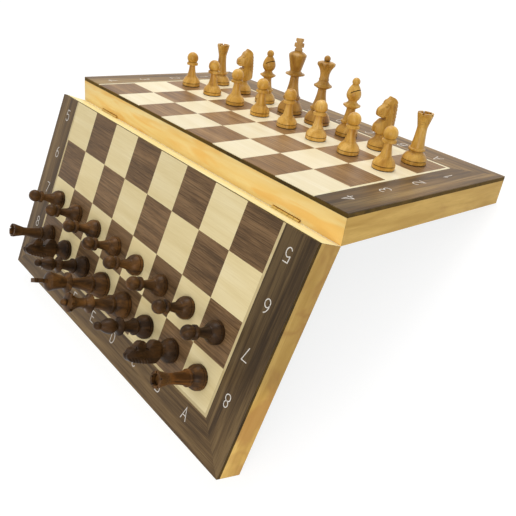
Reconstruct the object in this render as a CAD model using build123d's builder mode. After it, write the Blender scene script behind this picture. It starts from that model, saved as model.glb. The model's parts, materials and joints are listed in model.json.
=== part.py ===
from build123d import *
import math
import os

os.makedirs("parts", exist_ok=True)

# Folding chess box: two shallow wooden trays hinged along the fold, with the chessboard on their
# outer faces and the magnetic men standing on it. All sizes are in millimetres.
# The box is drawn set up as a tent: the fold on top, along X, and both far edges on the ground.
# Each tray has a frame of its own: x along the fold, y from the hinge axis out to the far edge,
# z from the rim plane, where the two trays meet when shut, out to the playing face.

# ---- playing face ----
square = 39.0
squares_across = 8
ranks_per_tray = 4
stringing_width = 2.5
border_width = 32.0
veneer = 0.6
glue_line = 0.05

# ---- trays ----
tray_height = 24.0
panel_thickness = 3.5
wall = 9.0
fold_gap = 0.15
rim_gap = 0.15
steel_thickness = 0.5
steel_inset = 3.0
steel_clearance = 0.3
felt_thickness = 1.0
felt_drop = 3.0
tent_angle = 35.58

# ---- closing magnets in the far walls ----
catch_diameter = 8.0
catch_thickness = 3.0
catch_recess = 0.2
catch_clearance = 0.1
catch_spacing = 120.0

# ---- butt hinges ----
hinge_spacing = 269.0
hinge_length = 30.0
leaf_width = 8.0
leaf_thickness = 1.0
barrel_diameter = 4.0
pin_diameter = 2.0
pin_clearance = 0.03
knuckles = 5
knuckle_gap = 0.3
barrel_clearance = 0.4
mortise_clearance = 0.1
screws_per_leaf = 3
screw_spacing = 10.0
screw_head = 3.6
screw_shank = 1.6
screw_length = 8.0
screw_clearance = 0.05
slot_width = 0.5
slot_depth = 0.4

# ---- men: shared sizes ----
stand_gap = 0.05
pad_thickness = 0.6
pad_inset = 0.4
foot_height = 2.4
groove_height = 0.8
groove_depth = 0.6
bell_fullness = 0.67
cove_depth = 0.5
cove_height = 0.9
ring_bevel = 0.25
stem_fullness = 0.3
collar_hollow = 0.33
magnet_thickness = 3.0
magnet_clearance = 0.1

# ---- pawns ----
pawn_foot = 18.6
pawn_magnet = 9.0
pawn_height = 34.0
pawn_bell_height = 8.6
pawn_bell_radius = 5.8
pawn_stem_low = 5.0
pawn_stem_high = 3.0
pawn_neck = 4.4
pawn_collar = 5.8
pawn_collar_height = 3.2
pawn_collar_slope = 1.2
pawn_ball = 5.8

# ---- rooks ----
rook_foot = 20.8
rook_magnet = 10.0
rook_height = 41.5
rook_bell_height = 9.0
rook_bell_radius = 6.2
rook_ring = 7.0
rook_ring_low = 10.4
rook_ring_high = 12.8
rook_stem_low = 5.8
rook_stem_high = 4.2
rook_head_low = 29.5
rook_grooves = (32.2, 33.9)
rook_groove_depth = 0.25
rook_groove_height = 0.5
rook_head = 6.5
rook_rim_height = 1.6
rook_cup_radius = 4.6
rook_cup_depth = 3.2
crenels = 5
crenel_width = 1.1
crenel_depth = 1.3

# ---- knights: the turned foot and waist ----
knight_foot = 20.2
knight_magnet = 10.0
knight_height = 46.0
knight_bell_height = 8.8
knight_bell_radius = 6.0
knight_waist = 5.0
knight_waist_low = 10.6

# ---- knights: side outline of the carving, forward of the axis and below the ear tips ----
knight_seat = (-5.0, 32.2)
knight_haunch = (-9.4, 30.4)
knight_rump = (-10.1, 24.0)
knight_withers = (-9.2, 15.0)
knight_crest = (-7.9, 6.4)
knight_poll = (-5.9, 2.0)
knight_ear = (-2.0, 0.0)
knight_ear_root = (-0.4, 2.8)
knight_brow = (1.0, 3.6)
knight_forehead = (2.2, 5.0)
knight_bridge = (6.8, 10.4)
knight_nose = (8.0, 12.2)
knight_nostril = (8.3, 14.6)
knight_lip = (7.8, 17.2)
knight_chin = (6.2, 18.4)
knight_jaw = (3.6, 18.2)
knight_throat = (1.2, 19.2)
knight_neck = (3.6, 20.4)
knight_breast = (8.0, 24.0)
knight_chest = (9.3, 28.0)
knight_girth = (8.3, 30.8)
knight_belly = (5.2, 32.2)

# ---- knights: widths of the carving ----
knight_chest_width = 11.4
knight_neck_width = 8.6
knight_cheek_width = 9.2
knight_brow_width = 7.6
knight_ear_width = 5.8
knight_ear_gap = 2.0
knight_ear_notch = 2.6
knight_mane_width = 4.0
knight_plan_margin = 0.6
knight_prow_width = 6.0
knight_muzzle_width = 5.6

# ---- bishops ----
bishop_foot = 20.6
bishop_magnet = 10.0
bishop_height = 51.0
bishop_bell_height = 9.2
bishop_bell_radius = 6.3
bishop_ring = 7.2
bishop_ring_low = 11.0
bishop_ring_high = 13.6
bishop_stem_low = 5.8
bishop_stem_high = 4.0
bishop_collar = 7.8
bishop_collar_low = 23.8
bishop_collar_rim = 26.2
bishop_collar_edge = 1.0
bishop_collar_high = 29.8
bishop_neck = 4.0
bishop_neck_high = 31.0
bishop_mitre = 6.5
bishop_mitre_height = 36.4
bishop_mitre_fullness = 0.93
bishop_mitre_taper = 0.82
bishop_ball = 3.5
bishop_ball_neck = 2.7
slit_width = 0.8
slit_angle = 35.0
slit_rise = 5.2

# ---- queens ----
queen_foot = 24.4
queen_magnet = 12.0
queen_height = 61.6
queen_bell_height = 11.0
queen_bell_radius = 7.6
queen_ring = 8.4
queen_ring_low = 12.4
queen_ring_high = 15.8
queen_stem_low = 7.2
queen_stem_high = 3.9
queen_collar = 8.4
queen_collar_low = 31.4
queen_collar_rim = 33.8
queen_collar_edge = 1.2
queen_collar_high = 38.4
queen_collar_neck = 4.6
queen_bead = 4.8
queen_bead_low = 39.4
queen_bead_high = 40.8
queen_neck = 4.4
queen_flare = 5.2
queen_flare_height = 47.8
queen_crown = 8.3
queen_crown_low = 52.4
queen_crown_high = 54.2
queen_crown_bevel = 0.6
queen_cap = 5.0
queen_cap_rise = 0.9
queen_ball = 3.0
queen_ball_neck = 2.2
crown_points = 9
flute_radius = 1.7
flute_low = 46.6
flute_low_radius = 6.5
flute_high = 57.0
flute_high_radius = 10.1

# ---- kings ----
king_foot = 24.4
king_magnet = 12.0
king_height = 69.0
king_bell_height = 11.0
king_bell_radius = 7.6
king_ring = 8.4
king_ring_low = 12.4
king_ring_high = 15.8
king_stem_low = 7.2
king_stem_high = 4.1
king_collar = 9.3
king_collar_low = 34.0
king_collar_rim = 35.8
king_collar_edge = 1.0
king_collar_high = 39.2
king_neck = 5.2
king_crown = 8.5
king_crown_low = 52.8
king_crown_high = 54.0
king_crown_bevel = 0.8
king_dome = 4.4
king_dome_rise = 1.9
cross_width = 9.2
cross_height = 11.6
cross_thickness = 3.6
cross_stem = 7.4
cross_arm = 3.4
cross_notch = 0.9
cross_corner = 0.6
cross_seat = 0.6

# ---- which way the men with a front face: degrees from their tray's x towards its far edge ----
light_turns = {"knight": 250.0, "king": 45.0}
dark_turns = {"knight": 290.0, "king": 27.0}

# ---- derived levels and lengths ----
board_width = squares_across * square + 2 * (stringing_width + border_width)
half_width = board_width / 2
field_half = squares_across * square / 2
field_far = fold_gap + ranks_per_tray * square
far_edge = field_far + stringing_width + border_width
tray_depth = far_edge - fold_gap
core_top = tray_height - veneer
core_bottom = tray_height - panel_thickness
tilt = math.radians(tent_angle)
hinge_height = far_edge * math.sin(tilt) - rim_gap * math.cos(tilt)
pin_radius = pin_diameter / 2
bore_radius = pin_radius + pin_clearance
barrel_radius = barrel_diameter / 2
notch_radius = barrel_radius + barrel_clearance
knuckle_pitch = hinge_length / knuckles
leaf_start = (bore_radius + barrel_radius) / 2
screw_line = (notch_radius + leaf_width) / 2
hinge_centres = (-hinge_spacing / 2, hinge_spacing / 2)
catch_centres = (-catch_spacing / 2, catch_spacing / 2)


def tray_frame(side):
    """The frame of one tray: side is 1 for the tray behind the fold, -1 for the one in front."""
    return Plane(
        origin=(0, 0, hinge_height),
        x_dir=(side, 0, 0),
        z_dir=(0, side * math.sin(tilt), math.cos(tilt)),
    )


def write(piece, name):
    """Labels a finished piece and writes it under the same name."""
    piece.part.label = name
    export_step(piece.part, f"parts/{name}.step")


# ---------------------------------------------------------------- playing panel


def make_panel(frame, name):
    """Panel core under the veneers, with a pocket that holds the steel sheet."""
    with BuildPart() as panel:
        with BuildSketch(frame.offset(core_bottom)):
            with Locations((0, fold_gap + tray_depth / 2)):
                Rectangle(board_width, tray_depth)
        extrude(amount=core_top - core_bottom)
        with BuildSketch(frame.offset(core_top)):
            steel_outline(0)
        extrude(amount=-steel_thickness, mode=Mode.SUBTRACT)
    write(panel, name)


def steel_outline(clearance):
    """Outline of the steel pocket, or of the sheet when it is smaller by the clearance."""
    inset = steel_inset + clearance
    with Locations((0, (fold_gap + field_far) / 2)):
        Rectangle(2 * (field_half - inset), field_far - fold_gap - 2 * inset)


def make_steel_sheet(frame, name):
    with BuildPart() as sheet:
        with BuildSketch(frame.offset(core_top)):
            steel_outline(steel_clearance)
        extrude(amount=-steel_thickness)
    write(sheet, name)


def square_centres(parity):
    """Centres of the squares of one colour: parity 0 is dark, 1 is light."""
    centres = []
    for column in range(squares_across):
        for row in range(ranks_per_tray):
            if (column + row) % 2 == parity:
                x = (column + 0.5) * square - field_half
                centres.append((x, fold_gap + (row + 0.5) * square))
    return centres


def make_squares(frame, parity, name):
    with BuildPart() as squares:
        with BuildSketch(frame.offset(core_top)):
            with Locations(*square_centres(parity)):
                Rectangle(square, square)
        extrude(amount=veneer)
    write(squares, name)


def make_strips(frame, inner_half, inner_far, width, name):
    """Three veneer strips round the field, mitred at the far corners."""
    outer_half = inner_half + width
    outer_far = inner_far + width
    with BuildPart() as strips:
        with BuildSketch(frame.offset(core_top)):
            for side in (-1, 1):
                with BuildLine():
                    Polyline(
                        (side * inner_half, fold_gap),
                        (side * outer_half, fold_gap),
                        (side * outer_half, outer_far),
                        (side * inner_half, inner_far),
                        close=True,
                    )
                make_face()
            with BuildLine():
                Polyline(
                    (-inner_half + glue_line, inner_far),
                    (inner_half - glue_line, inner_far),
                    (outer_half - glue_line, outer_far),
                    (-outer_half + glue_line, outer_far),
                    close=True,
                )
            make_face()
        extrude(amount=veneer)
    write(strips, name)


# ---------------------------------------------------------------- tray walls


def make_fold_wall(frame, name):
    """Wall along the fold, mitred at both ends, let in for the two hinges."""
    with BuildPart() as fold_wall:
        with BuildSketch(frame.offset(rim_gap)):
            with BuildLine():
                Polyline(
                    (-half_width, fold_gap),
                    (half_width, fold_gap),
                    (half_width - wall, fold_gap + wall),
                    (-half_width + wall, fold_gap + wall),
                    close=True,
                )
            make_face()
        extrude(amount=core_bottom - rim_gap)
        with BuildSketch(frame.offset(rim_gap)):
            for x in hinge_centres:
                with Locations((x, leaf_width / 2)):
                    Rectangle(hinge_length + 2 * mortise_clearance, leaf_width + 2 * mortise_clearance)
        extrude(amount=leaf_thickness, mode=Mode.SUBTRACT)
        with BuildSketch(*[hinge_end(x) for x in hinge_centres]):
            Circle(notch_radius)
        extrude(amount=hinge_length + 2 * barrel_clearance, mode=Mode.SUBTRACT)
        with BuildSketch(frame.offset(rim_gap)):
            with Locations(*screw_places()):
                Circle(screw_shank / 2 + screw_clearance)
        extrude(amount=screw_length + screw_clearance, mode=Mode.SUBTRACT)
    write(fold_wall, name)


def hinge_end(x):
    """Plane across the hinge axis at the low end of the hinge whose middle is at x."""
    start = x - hinge_length / 2 - barrel_clearance
    return Plane(origin=(start, 0, hinge_height), x_dir=(0, 1, 0), z_dir=(1, 0, 0))


def make_far_wall(frame, name):
    """Wall at the far edge, with a blind hole in its rim for each closing magnet."""
    with BuildPart() as far_wall:
        with BuildSketch(frame.offset(rim_gap)):
            with BuildLine():
                Polyline(
                    (-half_width, far_edge),
                    (half_width, far_edge),
                    (half_width - wall, far_edge - wall),
                    (-half_width + wall, far_edge - wall),
                    close=True,
                )
            make_face()
        extrude(amount=core_bottom - rim_gap)
        with BuildSketch(frame.offset(rim_gap)):
            with Locations(*catch_places()):
                Circle(catch_diameter / 2 + catch_clearance)
        extrude(amount=catch_recess + catch_thickness, mode=Mode.SUBTRACT)
    write(far_wall, name)


def catch_places():
    return [(x, far_edge - wall / 2) for x in catch_centres]


def make_side_walls(frame, name):
    """The two side walls, mitred to the fold wall and the far wall."""
    with BuildPart() as side_walls:
        with BuildSketch(frame.offset(rim_gap)):
            for side in (-1, 1):
                with BuildLine():
                    Polyline(
                        (side * half_width, fold_gap),
                        (side * half_width, far_edge),
                        (side * (half_width - wall), far_edge - wall),
                        (side * (half_width - wall), fold_gap + wall),
                        close=True,
                    )
                make_face()
        extrude(amount=core_bottom - rim_gap)
    write(side_walls, name)


def make_lining(frame, name):
    """Felt lining: a floor under the panel and an upstand against the four walls."""
    inner_width = board_width - 2 * wall
    inner_depth = tray_depth - 2 * wall
    middle = (0, fold_gap + tray_depth / 2)
    with BuildPart() as lining:
        with BuildSketch(frame.offset(core_bottom)):
            with Locations(middle):
                Rectangle(inner_width, inner_depth)
        extrude(amount=rim_gap + felt_drop - core_bottom)
        with BuildSketch(frame.offset(core_bottom - felt_thickness)):
            with Locations(middle):
                Rectangle(inner_width - 2 * felt_thickness, inner_depth - 2 * felt_thickness)
        extrude(amount=-core_bottom, mode=Mode.SUBTRACT)
    write(lining, name)


def make_catch_magnets(frame, name):
    with BuildPart() as magnets:
        with BuildSketch(frame.offset(rim_gap + catch_recess)):
            with Locations(*catch_places()):
                Circle(catch_diameter / 2)
        extrude(amount=catch_thickness)
    write(magnets, name)


# ---------------------------------------------------------------- hinges


def knuckle_middle(x, index):
    """Middle of a knuckle along the hinge axis, counted from the low end of the hinge at x."""
    return x + (index + 0.5) * knuckle_pitch - hinge_length / 2


def screw_places():
    """Screws of both hinges, in a tray's own x and y."""
    places = []
    for x in hinge_centres:
        for index in range(screws_per_leaf):
            offset = (index - (screws_per_leaf - 1) / 2) * screw_spacing
            places.append((x + offset, screw_line))
    return places


def make_hinge_leaves(frame, first, name):
    """Both leaves of one tray. Its knuckles are every second one, counted from first."""
    own = range(first, knuckles, 2)
    other = range(1 - first, knuckles, 2)
    with BuildPart() as leaves:
        with BuildSketch(frame.offset(rim_gap)):
            for x in hinge_centres:
                with Locations((x, (leaf_start + leaf_width) / 2)):
                    Rectangle(hinge_length, leaf_width - leaf_start)
        extrude(amount=leaf_thickness)
        with BuildSketch(frame.offset(rim_gap)):
            for x in hinge_centres:
                for index in other:
                    with Locations((knuckle_middle(x, index), notch_radius / 2)):
                        Rectangle(knuckle_pitch + knuckle_gap, notch_radius)
        extrude(amount=leaf_thickness, mode=Mode.SUBTRACT)
        for x in hinge_centres:
            for index in own:
                with BuildSketch(knuckle_plane(x, index)):
                    Circle(barrel_radius)
                extrude(amount=knuckle_pitch - knuckle_gap)
        for x in hinge_centres:
            with BuildSketch(hinge_end(x)):
                Circle(bore_radius)
            extrude(amount=hinge_length + 2 * barrel_clearance, mode=Mode.SUBTRACT)
        with Locations(*[screw_plane(frame, place) for place in screw_places()]):
            CounterSinkHole(
                radius=screw_shank / 2 + screw_clearance,
                counter_sink_radius=screw_head / 2 + screw_clearance,
                depth=2 * leaf_thickness,
            )
    write(leaves, name)


def knuckle_plane(x, index):
    start = knuckle_middle(x, index) - (knuckle_pitch - knuckle_gap) / 2
    return Plane(origin=(start, 0, hinge_height), x_dir=(0, 1, 0), z_dir=(1, 0, 0))


def screw_plane(frame, place):
    """Plane on the rim side of a leaf, facing out of the wall, with a screw at its origin."""
    centre = frame.from_local_coords((place[0], place[1], rim_gap))
    return Plane(origin=centre, x_dir=frame.x_dir, z_dir=-frame.z_dir)


def make_hinge_pins(name):
    with BuildPart() as pins:
        for x in hinge_centres:
            start = x - hinge_length / 2
            with BuildSketch(Plane(origin=(start, 0, hinge_height), x_dir=(0, 1, 0), z_dir=(1, 0, 0))):
                Circle(pin_radius)
            extrude(amount=hinge_length)
    write(pins, name)


def make_screws(frame, name):
    """Slotted countersunk screws, their heads flush with the leaves."""
    with BuildPart() as screws:
        for place in screw_places():
            plane = screw_plane(frame, place)
            profile = Plane(origin=plane.origin, x_dir=plane.x_dir, z_dir=-plane.y_dir)
            with BuildSketch(profile):
                with BuildLine():
                    Polyline(
                        (0, 0),
                        (screw_head / 2, 0),
                        (screw_shank / 2, -leaf_thickness),
                        (screw_shank / 2, -screw_length + screw_shank),
                        (0, -screw_length),
                        close=True,
                    )
                make_face()
            revolve(axis=Axis(plane.origin, plane.z_dir))
            with BuildSketch(plane):
                Rectangle(screw_head, slot_width)
            extrude(amount=-slot_depth, mode=Mode.SUBTRACT)
    write(screws, name)


# ---------------------------------------------------------------- men
# A turned outline is a list of stretches from the foot to the top, in radius and height.
# A pair is a straight stretch to that point. Four numbers are an arc: a point on it and its end.


def foot_rows(base_radius, bell_height, bell_radius):
    """Foot disc, groove, rounded bell and cove, which every man shares."""
    groove_top = foot_height + groove_height
    bulge = bell_radius + bell_fullness * (base_radius - bell_radius)
    return [
        (base_radius, 0),
        (base_radius, foot_height),
        (base_radius - groove_depth, foot_height + groove_height / 2),
        (base_radius, groove_top),
        (bulge, (groove_top + bell_height) / 2, bell_radius, bell_height),
        (bell_radius - cove_depth, bell_height + cove_height),
    ]


def ring_rows(radius, low, high, stem_radius):
    """A turned ring with a flat edge and bevelled sides, ending on the stem above it."""
    bevel = (high - low) * ring_bevel
    return [
        (radius, low + bevel),
        (radius, high - bevel),
        (stem_radius, high),
    ]


def stem_row(low_radius, low, high_radius, high):
    """A stem that draws in quickly above its foot and then more slowly."""
    middle = high_radius + stem_fullness * (low_radius - high_radius)
    return (middle, (low + high) / 2, high_radius, high)


def collar_rows(radius, rim, edge, high, neck_radius):
    """A wide collar: a straight underside, a thin edge from rim up and a hollow top to the neck."""
    hollow = neck_radius + collar_hollow * (radius - neck_radius)
    return [
        (radius, rim),
        (radius, rim + edge),
        (hollow, (rim + edge + high) / 2, neck_radius, high),
    ]


def ball_row(radius, top):
    """The round top of a man: an arc over its widest point to the axis."""
    return (radius, top - radius, 0, top)


def ball_low(radius, top, neck_radius):
    """Height at which a ball of this radius leaves the neck below it."""
    return top - radius - math.sqrt(radius**2 - neck_radius**2)


def draw_rows(rows):
    """Draws the closed half outline of a turned man in the current line builder."""
    last = (0, 0)
    for row in rows:
        end = row[-2:]
        if len(row) == 2:
            Line(last, end)
        else:
            ThreePointArc(last, row[:2], end)
        last = end
    Line(last, (0, 0))


def man_plane(frame, file_index, rank_index, turn):
    """Standing plane of a man at the centre of a square, turned about its own axis."""
    x = (file_index + 0.5) * square - field_half
    y = fold_gap + (rank_index + 0.5) * square
    origin = frame.from_local_coords((x, y, tray_height + stand_gap))
    along_fold = frame.x_dir * math.cos(math.radians(turn))
    to_far_edge = frame.y_dir * math.sin(math.radians(turn))
    return Plane(origin=origin, x_dir=along_fold + to_far_edge, z_dir=frame.z_dir)


def side_plane(stand, height):
    """Upright plane through a man's axis: x to its front, y up, from a height above its feet."""
    return Plane(
        origin=stand.origin + stand.z_dir * height,
        x_dir=stand.x_dir,
        z_dir=-stand.y_dir,
    )


class Man:
    """Sizes of one kind of man: its foot, the magnet in it and the wood's height over the pad."""

    def __init__(self, foot, magnet, height):
        self.radius = foot / 2
        self.magnet = magnet / 2
        self.height = height - pad_thickness


pawn = Man(pawn_foot, pawn_magnet, pawn_height)
rook = Man(rook_foot, rook_magnet, rook_height)
knight = Man(knight_foot, knight_magnet, knight_height)
bishop = Man(bishop_foot, bishop_magnet, bishop_height)
queen = Man(queen_foot, queen_magnet, queen_height)
king = Man(king_foot, king_magnet, king_height)


def pawn_rows():
    collar_high = ball_low(pawn_ball, pawn.height, pawn_neck)
    collar_low = collar_high - pawn_collar_height
    return [
        *foot_rows(pawn.radius, pawn_bell_height, pawn_bell_radius),
        (pawn_stem_low, pawn_bell_height + cove_height),
        stem_row(pawn_stem_low, pawn_bell_height + cove_height, pawn_stem_high, collar_low),
        (pawn_collar, collar_low + ring_bevel),
        (pawn_collar, collar_high - pawn_collar_slope),
        (pawn_neck, collar_high),
        ball_row(pawn_ball, pawn.height),
    ]


def rook_flare(height):
    """Radius of the tower's flaring head at a height."""
    share = (height - rook_head_low) / (rook.height - rook_rim_height - rook_head_low)
    return rook_stem_high + share * (rook_head - rook_stem_high)


def rook_rows():
    cup_floor = rook.height - rook_cup_depth
    grooves = []
    for low in rook_grooves:
        middle = low + rook_groove_height / 2
        high = low + rook_groove_height
        grooves.append((rook_flare(low), low))
        grooves.append((rook_flare(middle) - rook_groove_depth, middle))
        grooves.append((rook_flare(high), high))
    return [
        *foot_rows(rook.radius, rook_bell_height, rook_bell_radius),
        *ring_rows(rook_ring, rook_ring_low, rook_ring_high, rook_stem_low),
        stem_row(rook_stem_low, rook_ring_high, rook_stem_high, rook_head_low),
        *grooves,
        (rook_head, rook.height - rook_rim_height),
        (rook_head, rook.height),
        (rook_cup_radius, rook.height),
        (rook_cup_radius, cup_floor),
        (0, cup_floor),
    ]


def knight_rows():
    """The turned foot and waist, up into the carving."""
    waist_high = knight.height - knight_chest[1]
    return [
        *foot_rows(knight.radius, knight_bell_height, knight_bell_radius),
        (knight_waist, knight_waist_low),
        (knight_waist, waist_high),
        (0, waist_high),
    ]


def bishop_rows():
    neck_low = ball_low(bishop_ball, bishop.height, bishop_ball_neck)
    mitre_low_middle = (bishop_neck_high + bishop_mitre_height) / 2
    mitre_high_middle = (bishop_mitre_height + neck_low) / 2
    return [
        *foot_rows(bishop.radius, bishop_bell_height, bishop_bell_radius),
        *ring_rows(bishop_ring, bishop_ring_low, bishop_ring_high, bishop_stem_low),
        stem_row(bishop_stem_low, bishop_ring_high, bishop_stem_high, bishop_collar_low),
        *collar_rows(
            bishop_collar, bishop_collar_rim, bishop_collar_edge, bishop_collar_high, bishop_neck
        ),
        (bishop_neck, bishop_neck_high),
        (bishop_mitre * bishop_mitre_fullness, mitre_low_middle, bishop_mitre, bishop_mitre_height),
        (bishop_mitre * bishop_mitre_taper, mitre_high_middle, bishop_ball_neck, neck_low),
        ball_row(bishop_ball, bishop.height),
    ]


def queen_rows():
    neck_low = ball_low(queen_ball, queen.height, queen_ball_neck)
    cap_low = queen_crown_high + queen_crown_bevel
    return [
        *foot_rows(queen.radius, queen_bell_height, queen_bell_radius),
        *ring_rows(queen_ring, queen_ring_low, queen_ring_high, queen_stem_low),
        stem_row(queen_stem_low, queen_ring_high, queen_stem_high, queen_collar_low),
        *collar_rows(
            queen_collar, queen_collar_rim, queen_collar_edge, queen_collar_high, queen_collar_neck
        ),
        (queen_neck, queen_bead_low),
        *ring_rows(queen_bead, queen_bead_low, queen_bead_high, queen_neck),
        (queen_flare, queen_flare_height, queen_crown, queen_crown_low),
        (queen_crown, queen_crown_high),
        (queen_crown - queen_crown_bevel, cap_low),
        (queen_cap, cap_low + queen_cap_rise, queen_ball_neck, neck_low),
        ball_row(queen_ball, queen.height),
    ]


def king_rows():
    dome_low = king_crown_high + king_crown_bevel
    return [
        *foot_rows(king.radius, king_bell_height, king_bell_radius),
        *ring_rows(king_ring, king_ring_low, king_ring_high, king_stem_low),
        stem_row(king_stem_low, king_ring_high, king_stem_high, king_collar_low),
        *collar_rows(king_collar, king_collar_rim, king_collar_edge, king_collar_high, king_neck),
        (king_crown, king_crown_low),
        (king_crown, king_crown_high),
        (king_crown - king_crown_bevel, dome_low),
        (king_dome, dome_low + king_dome_rise, 0, king.height - cross_height + cross_seat),
    ]


def rook_slots(stand):
    """Slots through the rim of the tower, which leave its merlons."""
    with BuildPart() as slots:
        with BuildSketch(stand.offset(pad_thickness + rook.height)):
            with PolarLocations(rook_head, crenels):
                Rectangle(rook_head, crenel_width)
        extrude(amount=-crenel_depth)
    return slots.part


def mitre_slit(stand):
    """The slanting slit in the bishop's mitre."""
    with BuildPart() as slit:
        with BuildSketch(side_plane(stand, pad_thickness + bishop_mitre_height)):
            with Locations(Location((bishop_mitre, slit_rise), slit_angle)):
                Rectangle(2 * bishop_mitre, slit_width)
        extrude(amount=bishop_mitre, both=True)
    return slit.part


def crown_flutes(stand):
    """Slanting flutes down the cup, which leave the points of the queen's coronet."""
    with BuildPart() as flutes:
        for index in range(crown_points):
            angle = math.radians(360 * index / crown_points)
            outward = stand.x_dir * math.cos(angle) + stand.y_dir * math.sin(angle)
            start = outward * flute_low_radius + stand.z_dir * (pad_thickness + flute_low)
            end = outward * flute_high_radius + stand.z_dir * (pad_thickness + flute_high)
            with BuildSketch(Plane(origin=stand.origin + start, z_dir=end - start)):
                Circle(flute_radius)
            extrude(amount=(end - start).length)
    return flutes.part


def king_cross(stand):
    """The cross: a broad stem, its arms and a round notch between each two of them."""
    with BuildPart() as cross:
        with BuildSketch(side_plane(stand, pad_thickness + king.height - cross_height / 2)):
            RectangleRounded(cross_stem, cross_height, cross_corner)
            RectangleRounded(cross_width, cross_arm, cross_corner)
            with GridLocations(cross_stem, cross_arm + 2 * cross_notch, 2, 2):
                Circle(cross_notch, mode=Mode.SUBTRACT)
        extrude(amount=cross_thickness / 2, both=True)
    return cross.part


def draw_knight_side():
    """Side outline of the carving, nose to +x, from the rump up the mane and down the front."""
    Spline(knight_haunch, knight_rump, knight_withers, knight_crest, knight_poll, knight_ear)
    Line(knight_ear, knight_ear_root)
    ThreePointArc(knight_ear_root, knight_brow, knight_forehead)
    Line(knight_forehead, knight_bridge)
    ThreePointArc(knight_bridge, knight_nose, knight_nostril)
    ThreePointArc(knight_nostril, knight_lip, knight_chin)
    Line(knight_chin, knight_jaw)
    ThreePointArc(knight_jaw, knight_throat, knight_neck)
    ThreePointArc(knight_neck, knight_breast, knight_chest)
    ThreePointArc(knight_chest, knight_girth, knight_belly)
    Line(knight_belly, knight_seat)
    Line(knight_seat, knight_haunch)


def draw_knight_front():
    """Front outline of the carving: full in the chest, drawn in at the neck, with two ears."""
    low = knight_belly[1]
    Line((0, low), (knight_waist, low))
    Spline(
        (knight_waist, low),
        (knight_chest_width / 2, knight_chest[1]),
        (knight_neck_width / 2, knight_throat[1]),
        (knight_cheek_width / 2, knight_nostril[1]),
        (knight_brow_width / 2, knight_brow[1]),
    )
    Line((knight_brow_width / 2, knight_brow[1]), (knight_ear_width / 2, 0))
    Line((knight_ear_width / 2, 0), (knight_ear_gap / 2, 0))
    Line((knight_ear_gap / 2, 0), (0, knight_ear_notch))
    mirror(about=Plane.YZ)


def draw_knight_plan():
    """Plan of the carving: narrow along the mane, widest near the axis, rounded off in front."""
    back = (knight_withers[0] - knight_plan_margin, knight_mane_width / 2)
    front = (knight_nostril[0] + knight_plan_margin, knight_prow_width / 2)
    Line((back[0], 0), back)
    ThreePointArc(back, (0, knight_chest_width / 2), front)
    Line(front, (front[0], 0))
    mirror(about=Plane.XZ)


def knight_head(stand):
    """The carved horse: its side outline, cut to its front outline, its plan and its muzzle."""
    top = stand.origin + stand.z_dir * (pad_thickness + knight.height)
    plan = Plane(origin=top, x_dir=stand.x_dir, z_dir=-stand.z_dir)
    with BuildPart() as head:
        with BuildSketch(Plane(origin=top, x_dir=stand.x_dir, z_dir=stand.y_dir)):
            with BuildLine():
                draw_knight_side()
            make_face()
        extrude(amount=knight_chest_width, both=True)
        with BuildSketch(Plane(origin=top, x_dir=stand.y_dir, z_dir=-stand.x_dir)):
            with BuildLine():
                draw_knight_front()
            make_face()
        extrude(amount=knight_foot, both=True, mode=Mode.INTERSECT)
        with BuildSketch(plan):
            with BuildLine():
                draw_knight_plan()
            make_face()
        extrude(amount=knight_height, mode=Mode.INTERSECT)
        with BuildSketch(plan):
            for side in (-1, 1):
                with BuildLine():
                    Polyline(
                        (knight_forehead[0], side * knight_cheek_width / 2),
                        (knight_nostril[0], side * knight_muzzle_width / 2),
                        (knight_foot, side * knight_muzzle_width / 2),
                        (knight_foot, side * knight_foot),
                        (knight_forehead[0], side * knight_foot),
                        close=True,
                    )
                make_face()
        extrude(amount=knight_throat[1], mode=Mode.SUBTRACT)
    return head.part


def make_man(stand, kind, rows, carving, carving_mode, name):
    """One man: the turned and carved wood, the magnet let into its foot and the felt pad."""
    with BuildPart() as man:
        with BuildSketch(side_plane(stand, pad_thickness)):
            with BuildLine():
                draw_rows(rows)
            make_face()
        revolve(axis=Axis(stand.origin, stand.z_dir))
        if carving:
            add(carving(stand), mode=carving_mode)
        with BuildSketch(stand.offset(pad_thickness)):
            Circle(kind.magnet + magnet_clearance)
        extrude(amount=magnet_thickness, mode=Mode.SUBTRACT)
    with BuildPart() as magnet:
        with BuildSketch(stand.offset(pad_thickness)):
            Circle(kind.magnet)
        extrude(amount=magnet_thickness)
    with BuildPart() as pad:
        with BuildSketch(stand):
            Circle(kind.radius - pad_inset)
        extrude(amount=pad_thickness)
    solids = [*man.part.solids(), *magnet.part.solids(), *pad.part.solids()]
    whole = Compound(label=name, children=solids)
    export_step(whole, f"parts/{name}.step")


# The men of the back rank from file a to h, each with its outline and its carving.
back_rank = (
    ("rook_a", rook, rook_rows, rook_slots, Mode.SUBTRACT),
    ("knight_b", knight, knight_rows, knight_head, Mode.ADD),
    ("bishop_c", bishop, bishop_rows, mitre_slit, Mode.SUBTRACT),
    ("queen", queen, queen_rows, crown_flutes, Mode.SUBTRACT),
    ("king", king, king_rows, king_cross, Mode.ADD),
    ("bishop_f", bishop, bishop_rows, mitre_slit, Mode.SUBTRACT),
    ("knight_g", knight, knight_rows, knight_head, Mode.ADD),
    ("rook_h", rook, rook_rows, rook_slots, Mode.SUBTRACT),
)
file_letters = "abcdefgh"
back_row = ranks_per_tray - 1
pawn_row = ranks_per_tray - 2


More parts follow.
